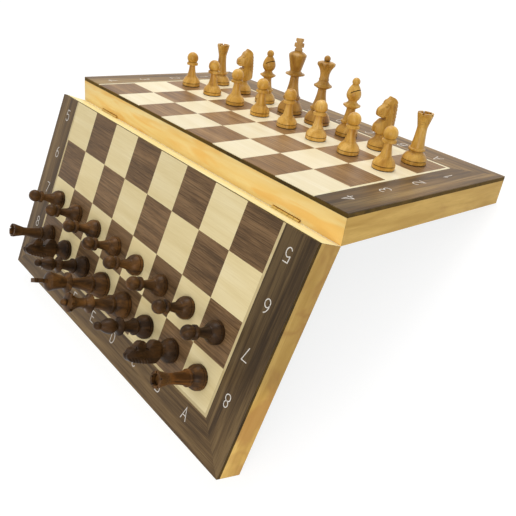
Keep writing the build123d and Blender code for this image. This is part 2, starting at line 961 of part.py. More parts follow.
def make_men(frame, files, colour, turns):
    """The sixteen men of one colour. Files are the columns of the tray's own x, from a to h."""
    for index, (name, kind, rows, carving, mode) in enumerate(back_rank):
        turn = turns.get(name.split("_")[0], 0)
        stand = man_plane(frame, files[index], back_row, turn)
        make_man(stand, kind, rows(), carving, mode, f"{colour}_{name}")
    for index, letter in enumerate(file_letters):
        stand = man_plane(frame, files[index], pawn_row, 0)
        make_man(stand, pawn, pawn_rows(), None, None, f"{colour}_pawn_{letter}")


def make_tray(frame, first_knuckle, tray):
    make_panel(frame, f"{tray}_panel")
    make_steel_sheet(frame, f"{tray}_steel_sheet")
    make_squares(frame, 0, f"{tray}_dark_squares")
    make_squares(frame, 1, f"{tray}_light_squares")
    make_strips(frame, field_half, field_far, stringing_width, f"{tray}_stringing")
    border_half = field_half + stringing_width
    border_far = field_far + stringing_width
    make_strips(frame, border_half, border_far, border_width, f"{tray}_border")
    make_fold_wall(frame, f"{tray}_fold_wall")
    make_far_wall(frame, f"{tray}_far_wall")
    make_side_walls(frame, f"{tray}_side_walls")
    make_lining(frame, f"{tray}_lining")
    make_catch_magnets(frame, f"{tray}_catch_magnets")
    make_hinge_leaves(frame, first_knuckle, f"{tray}_hinge_leaves")
    make_screws(frame, f"{tray}_hinge_screws")


lid = tray_frame(1)
base = tray_frame(-1)
make_tray(base, 0, "base")
make_tray(lid, 1, "lid")
make_hinge_pins("hinge_pins")

# File a is at the +X end of both trays, so its column is the last of the lid's and the first of
# the base's, whose own x runs the other way.
lid_files = range(squares_across - 1, -1, -1)
base_files = range(squares_across)
make_men(lid, lid_files, "light", light_turns)
make_men(base, base_files, "dark", dark_turns)
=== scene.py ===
import json
import math

import bmesh
import bpy
from mathutils import Matrix, Vector


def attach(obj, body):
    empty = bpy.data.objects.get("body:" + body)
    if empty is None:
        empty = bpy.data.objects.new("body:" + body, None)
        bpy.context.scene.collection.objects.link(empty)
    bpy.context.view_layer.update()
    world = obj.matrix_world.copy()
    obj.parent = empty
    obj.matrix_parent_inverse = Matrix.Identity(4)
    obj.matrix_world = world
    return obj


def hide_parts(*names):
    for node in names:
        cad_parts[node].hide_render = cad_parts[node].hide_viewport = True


# Folding chess box, set up as a tent: two wooden trays hinged along the fold, with the board on
# their outer faces and 32 men on it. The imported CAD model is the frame. Lengths are metres, apart
# from those in a tray's own frame, which are millimetres and mostly have names that end in _mm.

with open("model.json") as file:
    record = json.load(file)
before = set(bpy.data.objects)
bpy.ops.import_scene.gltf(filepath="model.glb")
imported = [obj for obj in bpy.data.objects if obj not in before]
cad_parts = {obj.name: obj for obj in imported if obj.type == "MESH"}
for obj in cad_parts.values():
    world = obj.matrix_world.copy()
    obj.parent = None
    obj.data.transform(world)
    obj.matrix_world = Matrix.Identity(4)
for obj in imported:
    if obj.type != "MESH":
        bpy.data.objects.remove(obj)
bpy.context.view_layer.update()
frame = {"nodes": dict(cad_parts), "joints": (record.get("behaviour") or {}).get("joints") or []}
nodes = frame["nodes"]
joints = {joint["name"]: joint for joint in frame["joints"]}
MM = 0.001

# ---- the board's own measures ----
square_mm = 39.0
squares_across = 8
ranks_per_tray = 4

# ---- camera: place, direction, lens ----
camera_place = (0.43131, -0.14128, 0.42621)
camera_turn_deg = (36.82098668, 21.17574915, 48.69295968)
camera_lens = 43.204
camera_shift = (0.02617, 0.06958)


# ---------------------------------------------------------------- the trays' own frames


class Tray:
    """One tray: x along the fold, y from the hinge axis to the far edge, z out of the board."""

    def __init__(self, name, men):
        self.name = name
        self.men = men
        out = Vector(joints[f"{men}_king_lift"]["axis"]).normalized()
        along = Vector((math.copysign(1, out.y), 0, 0))
        self.axes = Matrix((along, out.cross(along), out)).transposed()
        self.origin = Vector(joints["box_hinge"]["pos_m"])

    def place(self, x, y, z):
        """The point of the shared frame at x, y, z millimetres in this tray."""
        return self.origin + self.axes @ (Vector((x, y, z)) * MM)

    def span(self, node):
        """Lowest and highest corner of a CAD node in this tray, in millimetres."""
        inverse = self.axes.transposed()
        points = [inverse @ (v.co - self.origin) / MM for v in nodes[node].data.vertices]
        low = Vector([min(p[i] for p in points) for i in range(3)])
        high = Vector([max(p[i] for p in points) for i in range(3)])
        return low, high


lid = Tray("lid", "light")
base = Tray("base", "dark")
field_half_mm = squares_across * square_mm / 2
border_low, border_high = base.span("base_border")
half_width_mm = border_high.x
far_edge_mm = border_high.y
face_mm = border_high.z
fold_edge_mm = border_low.y
field_far_mm = fold_edge_mm + ranks_per_tray * square_mm


# ---------------------------------------------------------------- shader helpers


class Finish:
    """A material, with short ways to add the nodes that the finishes share."""

    def __init__(self, name):
        self.material = bpy.data.materials.new(name)
        self.material.use_nodes = True
        self.tree = self.material.node_tree
        self.shader = self.tree.nodes["Principled BSDF"]

    def node(self, kind, *inputs, **settings):
        """A new node. Inputs are sockets or values in its order, and None leaves one as it is."""
        made = self.tree.nodes.new(f"ShaderNode{kind}")
        for name, value in settings.items():
            setattr(made, name, value)
        for socket, value in zip(made.inputs, inputs):
            self.put(socket, value)
        return made

    def put(self, socket, value):
        if isinstance(value, bpy.types.NodeSocket):
            self.tree.links.new(value, socket)
        elif value is not None:
            socket.default_value = value

    def math(self, operation, *inputs, clamp=False):
        return self.node("Math", *inputs, operation=operation, use_clamp=clamp).outputs[0]

    def vector(self, operation, *inputs):
        return self.node("VectorMath", *inputs, operation=operation).outputs[0]

    def combine(self, x, y, z):
        return self.node("CombineXYZ", x, y, z).outputs[0]

    def separate(self, vector):
        return self.node("SeparateXYZ", vector).outputs[:3]

    def between(self, value, low, high, to_low=0.0, to_high=1.0):
        """The value's place between low and high, as a smooth step to the two other values."""
        ends = (low, high, to_low, to_high)
        return self.node("MapRange", value, *ends, interpolation_type="SMOOTHSTEP").outputs[0]

    def noise(self, vector, stretch, detail=3.0, roughness=0.5, distortion=0.0):
        """Noise whose grains are 1 / stretch millimetres long in x, y and z."""
        scaled = self.vector("MULTIPLY", vector, stretch)
        made = self.node("TexNoise", noise_dimensions="3D")
        self.put(made.inputs["Vector"], scaled)
        made.inputs["Scale"].default_value = 1.0
        made.inputs["Detail"].default_value = detail
        made.inputs["Roughness"].default_value = roughness
        made.inputs["Distortion"].default_value = distortion
        return made.outputs[0]

    def random(self, vector):
        """A fixed random value and a fixed random vector for each whole-numbered vector."""
        made = self.node("TexWhiteNoise", noise_dimensions="3D")
        self.put(made.inputs["Vector"], vector)
        return made.outputs["Value"], made.outputs["Color"]

    def mix(self, factor, first, second, blend="MIX"):
        made = self.node("Mix", data_type="RGBA", blend_type=blend)
        self.put(made.inputs[0], factor)
        self.put(made.inputs[6], first)
        self.put(made.inputs[7], second)
        return made.outputs[2]

    def ramp(self, factor, *stops):
        """Colours blended along a ramp. Each stop is a place from 0 to 1 and a colour."""
        made = self.node("ValToRGB", factor)
        ramp = made.color_ramp
        while len(ramp.elements) < len(stops):
            ramp.elements.new(1.0)
        for element, (place, colour) in zip(ramp.elements, stops):
            element.position = place
            element.color = colour
        return made.outputs[0]

    def painted_shade(self, reach_mm, darkest):
        """Painted shade: how much of its tone a surface keeps, 1 in the open and the darkest in a
        groove or under a rim.
        """
        closed, open_air = 0.3, 0.9
        shelter = self.node("AmbientOcclusion", samples=8)
        shelter.inputs["Distance"].default_value = reach_mm * MM
        return self.between(shelter.outputs["AO"], closed, open_air, darkest, 1.0)

    def toned(self, base_colour, tone):
        """A colour made darker or lighter by a value."""
        return self.mix(1.0, base_colour, self.combine(tone, tone, tone), "MULTIPLY")

    def streaked(self, base_colour, noise, span, strength, streak):
        """A colour with another over it, from where a noise starts the span to where it ends it."""
        return self.mix(self.between(noise, *span, 0.0, strength), base_colour, streak)

    def surface(self, base_colour, roughness, specular=None):
        """Sets the shader's main inputs, each to a socket or to one value for the whole surface."""
        self.put(self.shader.inputs["Base Color"], base_colour)
        self.put(self.shader.inputs["Roughness"], roughness)
        self.put(self.shader.inputs["Specular IOR Level"], specular)

    def bump(self, height, depth_mm, strength=1.0, edge_mm=0.0):
        """Fine relief. With an edge radius, sharp edges also take the light as rounded ones do."""
        made = self.node("Bump", strength)
        made.inputs["Distance"].default_value = depth_mm * MM
        self.put(made.inputs["Height"], height)
        if edge_mm:
            rounded = self.node("Bevel", edge_mm * MM, samples=6)
            self.put(made.inputs["Normal"], rounded.outputs[0])
        self.put(self.shader.inputs["Normal"], made.outputs[0])


def colour(code):
    """A linear colour from a written one such as 8A6A48."""
    channels = [int(code[i : i + 2], 16) / 255 for i in (0, 2, 4)]
    linear = [c / 12.92 if c <= 0.04045 else ((c + 0.055) / 1.055) ** 2.4 for c in channels]
    return (*linear, 1.0)


def tones(*codes):
    """The colours that one material is mixed from."""
    return tuple(colour(code) for code in codes)


def object_millimetres(finish):
    """Where a point of the surface lies in its object, in millimetres."""
    return finish.vector("MULTIPLY", finish.node("TexCoord").outputs["Object"], (1 / MM,) * 3)


def tray_coordinates(finish, tray):
    """Where a point of the surface lies in a tray, in millimetres, whatever the pose."""
    inverse = tray.axes.transposed()
    here = finish.node("TexCoord").outputs["Object"]
    turned = finish.node("Mapping", here, vector_type="POINT")
    turned.inputs["Scale"].default_value = (1 / MM,) * 3
    turned.inputs["Rotation"].default_value = inverse.to_euler()
    turned.inputs["Location"].default_value = inverse @ -tray.origin / MM
    return turned.outputs[0]


def cell_of(finish, place):
    """The square of the board that a place is on or over, as a whole-numbered vector."""
    x, y, _ = finish.separate(place)
    column = finish.math("FLOOR", finish.math("DIVIDE", x, square_mm))
    from_fold = finish.math("SUBTRACT", y, fold_edge_mm)
    row = finish.math("FLOOR", finish.math("DIVIDE", from_fold, square_mm))
    return finish.combine(column, row, 0.0)


# ---------------------------------------------------------------- woods
# The figure of a wood is its broad grain, the lines are its growth rings and the fibre is its
# finest grain. Each is noise, and is given as its grains per millimetre along x, y and z.

veneer_figure = (0.010, 0.09, 0.09)
veneer_lines = (0.010, 0.85, 0.85)
veneer_fibre = (0.06, 1.5, 1.5)
border_figure = (0.006, 0.10, 0.10)
border_lines = (0.010, 0.5, 0.5)
border_fibre = (0.05, 1.5, 1.5)
turned_figure, turned_fibre = (0.09, 0.09, 0.035), (1.1, 1.1, 0.08)
plank_along_fold, plank_across_fold = (0.012, 0.07, 0.10), (0.07, 0.012, 0.10)
round_patches, long_patches = (0.025, 0.025, 0.025), (0.008, 0.045, 0.06)
veneer_specular = 0.2
far_away_mm = 900.0
men_seed, border_seed = (0.0, 40.0, 0.0), 7.0


def shifted(finish, place, random_vector):
    """The place moved by a random way, so that each piece of wood has grain of its own."""
    move = finish.vector("MULTIPLY", random_vector, (far_away_mm,) * 3)
    return finish.vector("ADD", place, move)


def veneer(name, tray, woods, streak, spread):
    """Squares of veneer, all with their grain along the fold. Each has its own tone and figure.

    The streak is the strength of the lines, and the spread how far the squares' tones differ."""
    dark, middle, light = woods
    finish = Finish(name)
    place = tray_coordinates(finish, tray)
    value, vector = finish.random(cell_of(finish, place))
    wood = shifted(finish, place, vector)
    figure = finish.noise(wood, veneer_figure, detail=3.0, roughness=0.5, distortion=0.3)
    lines = finish.noise(wood, veneer_lines, detail=3.0, roughness=0.6, distortion=0.1)
    fibre = finish.noise(wood, veneer_fibre, detail=2.0, roughness=0.6)
    figured = finish.ramp(figure, (0.22, dark), (0.50, middle), (0.78, light))
    lined = finish.streaked(figured, lines, (0.50, 0.40), streak, dark)
    fibrous = finish.streaked(lined, fibre, (0.50, 0.30), streak, dark)
    flecked = finish.streaked(fibrous, fibre, (0.52, 0.72), streak, light)
    toned = finish.toned(flecked, finish.between(value, 0.0, 1.0, 1.0 - spread, 1.0 + spread))
    finish.surface(toned, finish.between(fibre, 0.2, 0.8, 0.36, 0.48), veneer_specular)
    finish.bump(finish.math("ADD", fibre, lines), depth_mm=0.03, strength=0.4)
    return finish.material


def border_veneer(name, tray, woods, tone_change):
    """The wide border: three strips, mitred at the corners, each with its grain along it.

    The strip on one side has a painted sheen: it goes from a darker tone near the fold to a lighter
    one near the far edge. The last argument gives that side, 1 or -1 along x, where along y the
    change starts and ends, and both tones."""
    dark, middle, light = woods
    sheen_side, *change = tone_change
    finish = Finish(name)
    place = tray_coordinates(finish, tray)
    x, y, z = finish.separate(place)
    to_side = finish.math("SUBTRACT", half_width_mm, finish.math("ABSOLUTE", x))
    to_far = finish.math("SUBTRACT", far_edge_mm, y)
    on_side = finish.math("LESS_THAN", to_side, to_far)
    which = finish.math("MULTIPLY", on_side, finish.math("SIGN", x))
    # Without the added 2, the far strip's -0 and 0 would draw two different random vectors.
    _, vector = finish.random(finish.combine(finish.math("ADD", which, 2.0), border_seed, 0.0))
    swapped = finish.combine(y, x, z)
    along = finish.node("Mix", data_type="VECTOR")
    finish.put(along.inputs[0], on_side)
    finish.put(along.inputs[4], place)
    finish.put(along.inputs[5], swapped)
    wood = shifted(finish, along.outputs[1], vector)
    figure = finish.noise(wood, border_figure, detail=4.0, roughness=0.6, distortion=0.3)
    lines = finish.noise(wood, border_lines, detail=3.0, roughness=0.6)
    fibre = finish.noise(wood, border_fibre, detail=2.0, roughness=0.6)
    figured = finish.ramp(figure, (0.38, dark), (0.5, middle), (0.62, light))
    lined = finish.streaked(figured, lines, (0.50, 0.34), 0.6, dark)
    fibrous = finish.streaked(lined, fibre, (0.52, 0.30), 0.5, dark)
    flecked = finish.streaked(fibrous, fibre, (0.55, 0.75), 0.5, light)
    # Painted sheen: the strip on one side darker near the fold and lighter towards the far edge.
    sheen_tone = finish.between(y, *change)
    tone = finish.between(finish.math("MULTIPLY", which, sheen_side), 0.0, 1.0, 1.0, sheen_tone)
    toned = finish.toned(flecked, tone)
    finish.surface(toned, finish.between(fibre, 0.2, 0.8, 0.38, 0.5), veneer_specular)
    finish.bump(fibre, depth_mm=0.03, strength=0.4, edge_mm=0.4)
    return finish.material


def plain_wood(name, tray, woods, plank, roughness, rare=(0.48, 0.66), long=False, tone_change=None):
    """Solid wood with its grain along one axis of the tray, and soft patches of the third tone.

    The patches start and are full at the two values of the noise in rare. The last argument, where
    there is one, is an axis of the tray, where along it the tone starts and ends to change, and
    both tones. On the lid's stained edge it is painted light; on the base's side walls it is a
    change of tone."""
    dark, light, mottle = woods
    finer = 9
    finish = Finish(name)
    place = tray_coordinates(finish, tray)
    figure = finish.noise(place, plank, detail=2.0, roughness=0.5, distortion=0.8)
    fine = finish.vector("MULTIPLY", place, tuple(finer * s for s in plank))
    fibre = finish.noise(fine, (1.0, 1.0, 1.0), detail=2.0)
    patches = long_patches if long else round_patches
    patch = finish.noise(place, patches, detail=3.0, roughness=0.6, distortion=0.4)
    figured = finish.ramp(figure, (0.30, dark), (0.66, light))
    fibrous = finish.streaked(figured, fibre, (0.55, 0.30), 0.3, dark)
    mottled = finish.streaked(fibrous, patch, rare, 0.7, mottle)
    # On the lid's stained edge this is painted light, lighter towards one end; on the base's side
    # walls the wood is darker near the fold and lighter towards the far edge.
    if tone_change:
        axis, *change = tone_change
        mottled = finish.toned(mottled, finish.between(finish.separate(place)[axis], *change))
    finish.surface(mottled, roughness, veneer_specular)
    finish.bump(fibre, depth_mm=0.02, strength=0.3, edge_mm=0.35)
    return finish.material


def man_wood(name, tray, woods, roughness, specular, stem=None):
    """Turned wood, its grain up the man's axis, with painted shade in its grooves and under its
    rims, and a felt pad below.

    A stem tone, where there is one, shows in streaks between the foot and the head."""
    dark, middle, light = woods
    pad_top_mm, pad_rougher = 0.66, 0.5
    stem_mm, fade_mm = (8.0, 35.0), 8.0
    shade_reach_mm, shade_tone = 2.0, 0.3
    finish = Finish(name)
    place = tray_coordinates(finish, tray)
    _, vector = finish.random(finish.vector("ADD", cell_of(finish, place), men_seed))
    wood = shifted(finish, place, vector)
    figure = finish.noise(wood, turned_figure, detail=3.0, roughness=0.6, distortion=0.8)
    fibre = finish.noise(wood, turned_fibre, detail=2.0)
    height = finish.math("SUBTRACT", finish.separate(place)[2], face_mm)
    figured = finish.ramp(figure, (0.32, dark), (0.5, middle), (0.68, light))
    if stem:
        above = finish.between(height, stem_mm[0], stem_mm[0] + fade_mm)
        below = finish.between(height, stem_mm[1], stem_mm[1] - fade_mm)
        streaks = finish.between(figure, 0.35, 0.5, 0.25, 0.85)
        on_stem = finish.math("MULTIPLY", finish.math("MULTIPLY", above, below), streaks)
        figured = finish.mix(on_stem, figured, stem)
    fibrous = finish.streaked(figured, fibre, (0.52, 0.30), 0.35, dark)
    # Painted shade: the wood darker in grooves, under rims and where the foot meets the board.
    toned = finish.toned(fibrous, finish.painted_shade(shade_reach_mm, shade_tone))
    on_pad = finish.math("LESS_THAN", height, pad_top_mm)
    rough = finish.math("ADD", finish.math("MULTIPLY", on_pad, pad_rougher), roughness)
    finish.surface(finish.mix(on_pad, toned, colour("2A221C")), rough, specular)
    finish.bump(fibre, depth_mm=0.02, strength=0.25, edge_mm=0.12)
    return finish.material


# ---------------------------------------------------------------- metals and felt


def metal(name, metals, roughness):
    """Metal with fine scratches of the second tone, which are rougher too."""
    tint, scratch = metals
    rougher = 0.15
    finish = Finish(name)
    grain = finish.noise(object_millimetres(finish), (0.4, 6.0, 6.0), detail=3.0)
    rough = finish.between(grain, 0.2, 0.8, roughness, roughness + rougher)
    finish.surface(finish.ramp(grain, (0.3, tint), (0.8, scratch)), rough)
    finish.shader.inputs["Metallic"].default_value = 1.0
    finish.bump(grain, depth_mm=0.01, strength=0.4)
    return finish.material


def felt_lining():
    """Green felt with a short nap and faint clouds."""
    low, high = tones("163A24", "2C6A44")
    nap_share, cloud_share = 0.6, 0.4
    finish = Finish("green_felt")
    place = object_millimetres(finish)
    nap = finish.noise(place, (2.5, 2.5, 2.5), detail=4.0, roughness=0.7)
    cloud = finish.noise(place, (0.06, 0.06, 0.06), detail=2.0)
    nap_part = finish.math("MULTIPLY", nap, nap_share)
    both = finish.math("ADD", nap_part, finish.math("MULTIPLY", cloud, cloud_share))
    finish.surface(finish.ramp(both, (0.35, low), (0.65, high)), 0.95)
    finish.shader.inputs["Sheen Weight"].default_value = 0.5
    finish.bump(nap, depth_mm=0.15, strength=0.6)
    return finish.material


# ---------------------------------------------------------------- finishes of the CAD nodes


def add_object(name, data):
    """A new object in the scene."""
    made = bpy.data.objects.new(name, data)
    bpy.context.scene.collection.objects.link(made)
    return made


def dress(node, material):
    """Gives a CAD node one material, and leaves its mesh as it is."""
    nodes[node].data.materials.clear()
    nodes[node].data.materials.append(material)


amber = tones("B68E40", "D2AC5C", "A87838")


def dress_tray(tray, walnut, maple, border, border_painted_sheen, strips, planks, rare, edge, tone_changes):
    """The woods of one tray, each with the tones that its function above takes.

    The planks are those along the fold, rare is said of the patches on the side walls, and the
    last argument holds the painted light on the stained edge under the veneers, lighter towards
    one end, and the change of tone along the side walls."""
    strong, faint, uneven, even = 0.6, 0.3, 0.08, 0.03
    name = tray.name
    edge_painted_light, side_wall_tone_change = tone_changes
    oiled, varnished, matt = 0.45, 0.4, 0.8
    along, across = plank_along_fold, plank_across_fold
    often = (0.46, 0.58)
    finishes = {
        "dark_squares": veneer(f"walnut_{name}", tray, walnut, strong, uneven),
        "light_squares": veneer(f"maple_{name}", tray, maple, faint, even),
        "border": border_veneer(f"border_{name}", tray, border, border_painted_sheen),
        "stringing": plain_wood(f"stringing_{name}", tray, strips, along, varnished),
        "panel": plain_wood(f"stained_edge_{name}", tray, edge, along, matt, tone_change=edge_painted_light),
        "fold_wall": plain_wood(
            f"wall_along_fold_{name}", tray, planks, along, oiled, often, long=True
        ),
        "side_walls": plain_wood(
            f"wall_across_fold_{name}", tray, amber, across, oiled, rare, tone_change=side_wall_tone_change
        ),
    }
    finishes["far_wall"] = finishes["fold_wall"]
    for part, material in finishes.items():
        dress(f"{name}_{part}", material)


def dress_trays():
    """The lid's woods are the paler ones, as the light falls on it in the photo."""
    dress_tray(
        lid,
        walnut=tones("644628", "957044", "B08C60"),
        maple=tones("E4D4AC", "EEE0BC", "F4E9CC"),
        border=tones("533D21", "81633B", "9F8150"),
        # Painted sheen on one side strip of the border: darker near the fold, lighter towards the
        # far edge.
        border_painted_sheen=(1, 0.0, 80.0, 0.5, 1.0),
        strips=tones("E4D6A8", "F4EACB", "E8DAB0"),
        planks=tones("F0CE82", "F8E2A6", "F0BE62"),
        rare=(0.58, 0.8),
        edge=tones("46360F", "664D1C", "382A0E"),
        # Painted light on the stained edge: lighter towards one end along x.
        tone_changes=((0, -190.0, 100.0, 1.4, 0.95), None),
    )
    dress_tray(
        base,
        walnut=tones("46331E", "785B3C", "927350"),
        maple=tones("DDC892", "E8D5A2", "EFDFB2"),
        border=tones("46331C", "6C5434", "866C46"),
        # Painted sheen on one side strip of the border: darker near the fold, lighter towards the
        # far edge.
        border_painted_sheen=(-1, 80.0, 165.0, 0.5, 0.8),
        strips=tones("C4AE7C", "D6C496", "CCB888"),
        planks=tones("F5E5A2", "FBF3C6", "F4E2A0"),
        rare=(0.44, 0.6),
        edge=tones("382A0C", "584114", "2A1E08"),
        tone_changes=(None, (1, 104.0, 128.0, 0.88, 1.3)),
    )
    brass = metal("hinge_brass", tones("C8A050", "E0C070"), 0.28)
    nickel = metal("nickel", tones("A8A8AA", "C8C8CA"), 0.25)
    steel = metal("steel_sheet", tones("707276", "8C8E92"), 0.35)
    felt = felt_lining()
    for tray in (base, lid):
        dress(f"{tray.name}_lining", felt)
        dress(f"{tray.name}_steel_sheet", steel)
        dress(f"{tray.name}_catch_magnets", nickel)
        dress(f"{tray.name}_hinge_leaves", brass)
        dress(f"{tray.name}_hinge_screws", brass)
    dress("hinge_pins", brass)


def dress_men():
    """Boxwood and stained men. The boxwood pawns are the palest, the king and queen the darkest,
    and the stain took deeper on some.
    """
    varnished, stained = (0.36, 0.3), (0.38, 0.12)
    pale_boxwood = man_wood("boxwood", lid, tones("AE7A26", "D2A044", "E8BC68"), *varnished)
    darker_boxwood = man_wood("boxwood_darker", lid, tones("A06C22", "C4943C", "DCB05A"), *varnished)
    darkest_boxwood = man_wood("boxwood_darkest", lid, tones("8C5E1E", "B08234", "CA9C50"), *varnished)
    brown_tones = tones("2E1D0C", "4F351A", "704B24")
    brown = man_wood("dark_stained", base, brown_tones, *stained)
    deep = man_wood("dark_stained_deep", base, tones("20140A", "3B2713", "52371C"), *stained)
    thin = man_wood("dark_stained_thin", base, brown_tones, *stained, stem=colour("7C4E22"))
    woods = {
        "light": {"": darker_boxwood, "pawn": pale_boxwood, "king": darkest_boxwood, "queen": darkest_boxwood},
        "dark": {"": brown, "knight": deep, "bishop": deep, "rook_a": thin, "pawn_a": deep},
    }
    for name in nodes:
        side, _, man = name.partition("_")
        if side in woods:
            chosen = [start for start in woods[side] if man.startswith(start)]
            dress(name, woods[side][max(chosen, key=len)])


# ---------------------------------------------------------------- the fold
# The CAD leaves 0.3 mm between the two trays at the fold, so that they turn freely. In the real box
# the walls all but touch there and no light comes through, so both walls stand out a little more.

fold_closing_mm = 0.11
on_face_mm = 0.01


def close_fold(tray):
    """The wall along the fold, with its outer face and its rim nearer to the other tray's."""
    name = f"{tray.name}_fold_wall"
    low, _ = tray.span(name)
    inverse = tray.axes.transposed()
    data = nodes[name].data.copy()
    for vertex in data.vertices:
        place = inverse @ (vertex.co - tray.origin) / MM
        outwards = Vector((0, place.y < low.y + on_face_mm, place.z < low.z + on_face_mm))
        vertex.co -= tray.axes @ outwards * fold_closing_mm * MM
    piece = add_object(f"{name}_closed", data)
    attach(piece, tray.name)
    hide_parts(name)


# ---------------------------------------------------------------- knights
# The turned foot of a knight stays as in the CAD. The carving above it is made anew from the CAD
# shape: its saw-cut edges are rubbed round, and the face and the mane are cut in. On the carving, f
# is forward of the man's axis and d is below the tips of the CAD ears, both in millimetres.

knight_turn_deg = {"light": 250.0, "dark": 290.0}
knight_tip_mm = 46.05
knight_cut_mm = 12.9
carving_grain_mm = 0.3
carving_rubs = 7
carving_share = 0.4
weld_mm = 0.002
crease_deg = 35.0

# ---- wear of the ear tips, and of the front at the forehead, the nose's bridge and the breast ----
ear_wear_mm = 1.5
ear_reach_mm = 9.0
front_wear = ((1.2, 3.5, 2.5), (1.9, 8.3, 2.6), (1.9, 21.8, 2.6))  # each as depth, d and width
front_mm = (0.0, 5.0)

# ---- cuts of the face: places as f and d, and each cut's depth and width ----
eye, eye_radius, eye_cut, eyeball_rise = (2.9, 8.4), 1.25, (0.55, 0.5), (0.3, 0.7)
nostril, nostril_narrowing, nostril_cut = (6.9, 13.6), 0.8, (0.6, 0.6)
mouth_front, mouth_back, mouth_cut = (8.4, 16.3), (5.2, 15.9), (0.45, 0.4)
cheek, cheek_radius, cheek_cut, cheek_top = (3.4, 12.4), 4.8, (0.35, 0.6), 9.5
side_facing = 0.35

# ---- cuts of the mane: from and to which d, and the line of the neck's back ----
mane_top, mane_end = 3.0, 25.0
mane_back, mane_lean, mane_lean_from, mane_width = -7.6, 0.1, 6.0, 3.6
mane_edge_cut, lock_depth = (0.35, 0.45), 0.32
lock_spacing, lock_slant = 2.7, 0.9
mane_fade_in, mane_fade_out = 2, 3


def square_middle(along, start):
    """The middle of the square that a length in a tray's x or y falls in."""
    return start + (math.floor((along - start) / square_mm) + 0.5) * square_mm


class Stand:
    """Where a man stands: the middle of its square, the way it faces, its side and its upright."""

    def __init__(self, name, tray, turn_deg):
        low, _ = tray.span(name)
        x, y = square_middle(low.x, -field_half_mm), square_middle(low.y, fold_edge_mm)
        turn = math.radians(turn_deg)
        self.origin = tray.place(x, y, face_mm)
        self.upright = tray.axes @ Vector((0, 0, 1))
        self.forward = tray.axes @ Vector((math.cos(turn), math.sin(turn), 0))
        self.side = self.upright.cross(self.forward)

    def local(self, point):
        """How far forward of the man's axis and below the ear tips a point is: f and d."""
        way = (point - self.origin) / MM
        return way.dot(self.forward), knight_tip_mm - way.dot(self.upright)


def groove(distance, width):
    """1 on a line and falling to 0 at about twice the width from it."""
    return math.exp(-((distance / width) ** 2))


def to_segment(f, d, start, end):
    """Distance of a place on the side of the head from a straight cut."""
    place, start, end = Vector((f, d)), Vector(start), Vector(end)
    along = end - start
    share = max(0.0, min(1.0, (place - start).dot(along) / along.length_squared))
    return (place - start - along * share).length


def cut(distance, shape):
    """How deep a cut of some depth and width is at a distance from its line."""
    depth, width = shape
    return depth * groove(distance, width)


def face_depth(f, d):
    """How deep the side of the head is cut at a place: eye, nostril, mouth and cheek."""
    from_eye = math.hypot(f - eye[0], d - eye[1])
    from_nostril = math.hypot((f - nostril[0]) / nostril_narrowing, d - nostril[1])
    from_mouth = to_segment(f, d, mouth_front, mouth_back)
    from_cheek = math.hypot(f - cheek[0], d - cheek[1])
    depth = cut(from_eye - eye_radius, eye_cut) - cut(from_eye, eyeball_rise)
    depth += cut(from_nostril, nostril_cut) + cut(from_mouth, mouth_cut)
    behind_cheek = f < cheek[0] and d > cheek_top
    return depth + (cut(from_cheek - cheek_radius, cheek_cut) if behind_cheek else 0.0)


def mane_depth(f, d):
    """How deep the mane is cut: its edge along the neck and the slanting locks behind it."""
    if not mane_top < d < mane_end:
        return 0.0
    back = mane_back - mane_lean * (d - mane_lean_from)
    inward = f - back - mane_width
    lock = 0.5 + 0.5 * math.cos(2 * math.pi * (d + lock_slant * f) / lock_spacing)
    fade = min(1.0, (d - mane_top) / mane_fade_in, (mane_end - d) / mane_fade_out)
    locks = lock_depth * lock**3 if inward < 0 else 0.0
    return fade * (cut(inward, mane_edge_cut) + locks)


def cut_away(mesh, stand, keep_above):
    """Keeps the part of a mesh on one side of the cut through the waist, and closes it."""
    bmesh.ops.remove_doubles(mesh, verts=mesh.verts, dist=weld_mm * MM)
    bmesh.ops.bisect_plane(
        mesh,
        geom=[*mesh.verts, *mesh.edges, *mesh.faces],
        plane_co=stand.origin + stand.upright * knight_cut_mm * MM,
        plane_no=stand.upright,
        clear_inner=keep_above,
        clear_outer=not keep_above,
    )
    bmesh.ops.holes_fill(mesh, edges=[edge for edge in mesh.edges if edge.is_boundary])


def modified(data, name, *modifiers):
    """A mesh with modifiers applied to it, each given as its type and its settings."""
    holder = add_object(name, data)
    for kind, settings in modifiers:
        modifier = holder.modifiers.new(kind, kind)
        for setting, value in settings.items():
            setattr(modifier, setting, value)
    bpy.context.view_layer.update()
    graph = bpy.context.evaluated_depsgraph_get()
    result = bpy.data.meshes.new_from_object(holder.evaluated_get(graph))
    bpy.data.objects.remove(holder)
    return result


def rubbed(mesh, name):
    """The carving with its edges rubbed round, as a new even mesh."""
    data = bpy.data.meshes.new(name)
    mesh.to_mesh(data)
    even = {"mode": "VOXEL", "voxel_size": carving_grain_mm * MM}
    return modified(data, name, ("REMESH", even), ("SMOOTH", {"iterations": carving_rubs}))


def thinned(data, name):
    """The same carving with fewer faces where it is nearly flat."""
    return modified(data, name, ("DECIMATE", {"ratio": carving_share}))


def share_between(value, low, high):
    """0 below the low value, 1 above the high one and smooth between them."""
    share = max(0.0, min(1.0, (value - low) / (high - low)))
    return share * share * (3 - 2 * share)


def front_depth(f, d):
    """How far the front is worn back."""
    depth = 0.0
    for deepest, middle, width in front_wear:
        depth += deepest * groove(d - middle, width)
    return depth * share_between(f, *front_mm)


def ear_share(d):
    """How much of the ears' wear there is at a place: all at their tips and none further down."""
    return 1 - share_between(d, 0.0, ear_reach_mm)


